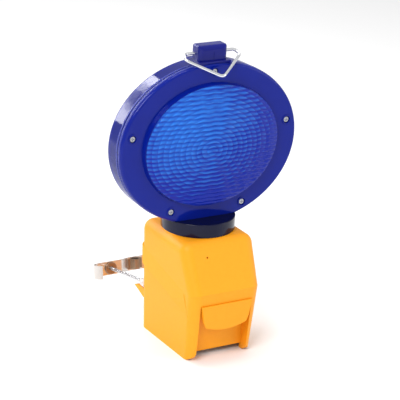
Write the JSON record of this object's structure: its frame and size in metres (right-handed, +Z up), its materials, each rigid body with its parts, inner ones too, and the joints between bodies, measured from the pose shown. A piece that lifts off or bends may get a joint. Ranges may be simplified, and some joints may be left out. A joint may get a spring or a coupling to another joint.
{
  "type": "road works warning lamp",
  "caption": "Battery warning lamp: oval blue two-faced lens head on a swivel collar, wire hanger ring, yellow hood over a battery tray, and a steel post clamp behind.",
  "frame": {"origin": "middle of the battery tray's underside, on the surface the lamp stands on and on the head's swivel axis", "axes": "+Z up along the swivel axis; the lamp's front faces -Y; the post clamp is on the +Y side; +X is the viewer's right from the front"},
  "size_m": [0.219, 0.2158, 0.341],
  "materials": {
    "blue_lens": "clear moulded, glossy",
    "blue_collar": "deep glossy tint",
    "yellow_plastic": "fine moulded texture",
    "bright_steel": "bright zinc and chrome",
    "strap_steel": "rolled strip, lightly passivated",
    "black_plastic": "moulded",
    "circuit_board": "white solder mask",
    "clear_resin": "clear domes",
    "dark_rubber": "soft seal",
    "copper": "insulated stranded copper",
    "spring_brass": "plated spring strip",
    "battery_case": "plain wrapped case",
    "red_plastic": "moulded"
  },
  "bodies": {
    "tray": {"battery_tray": "yellow_plastic", "battery": "battery_case", "battery_terminals": "spring_brass"},
    "hood": {"hood": "yellow_plastic", "contact_plate": "black_plastic", "contact_strips": "spring_brass", "switch_body": "black_plastic", "rear_saddle": "yellow_plastic", "saddle_screws": "bright_steel", "clamp_bracket": "strap_steel", "clamp_pins": "strap_steel"},
    "head": {"front_lens": "blue_lens", "rear_lens": "blue_lens", "lens_gasket": "dark_rubber", "lens_screws": "bright_steel", "driver_case": "black_plastic", "led_mast": "black_plastic", "led_boards": "circuit_board", "leds": "clear_resin", "photocell": "clear_resin", "collar": "blue_collar", "swivel_stem": "blue_collar", "swivel_nut": "black_plastic", "swivel_seal": "dark_rubber", "lead_wires": "copper", "lug_front": "blue_lens", "lug_rear": "blue_lens"},
    "ring": {"hanger_ring": "bright_steel"},
    "latch": {"latch_tab": "yellow_plastic"},
    "plunger": {"switch_plunger": "red_plastic"},
    "rods": {"clamp_rods": "bright_steel"},
    "jaw": {"clamp_strap": "strap_steel", "clamp_leaf": "strap_steel", "strap_washers": "strap_steel"},
    "left_nut": {"nut_left": "bright_steel"},
    "right_nut": {"nut_right": "bright_steel"}
  },
  "joints": [
    {"name": "hood_lift", "type": "slide", "parent": "tray", "child": "hood", "axis": [0, 0, 1], "range_m": [0, 0.125]},
    {"name": "head_swivel", "type": "hinge", "parent": "hood", "child": "head", "pos_m": [0, 0, 0.133], "axis": [0, 0, 1], "range_deg": [-90, 90]},
    {"name": "ring_swing", "type": "hinge", "parent": "head", "child": "ring", "pos_m": [0, -0.004, 0.332], "axis": [-1, 0, 0], "range_deg": [0, 230]},
    {"name": "latch_flex", "type": "hinge", "parent": "hood", "child": "latch", "pos_m": [0, -0.0701, 0.0668], "axis": [-1, 0, 0], "range_deg": [0, 12], "stiffness_Nm_per_rad": 0.05},
    {"name": "plunger_press", "type": "slide", "parent": "hood", "child": "plunger", "axis": [0, 0.9046, -0.4262], "range_m": [0, 0.0012], "stiffness_N_per_m": 150, "springref_m": -0.001},
    {"name": "rods_swing", "type": "hinge", "parent": "hood", "child": "rods", "pos_m": [0, 0.0523, 0.0497], "axis": [1, 0, 0], "range_deg": [0, 25]},
    {"name": "jaw_slide", "type": "slide", "parent": "rods", "child": "jaw", "axis": [0, -0.9839, 0.1788], "range_m": [0, 0.045]},
    {"name": "left_nut_turn", "type": "hinge", "parent": "jaw", "child": "left_nut", "pos_m": [-0.034, 0.13667, 0.03437], "axis": [0, 0.9839, -0.1788], "continuous": true},
    {"name": "right_nut_turn", "type": "hinge", "parent": "jaw", "child": "right_nut", "pos_m": [0.034, 0.13667, 0.03437], "axis": [0, 0.9839, -0.1788], "continuous": true}
  ]
}
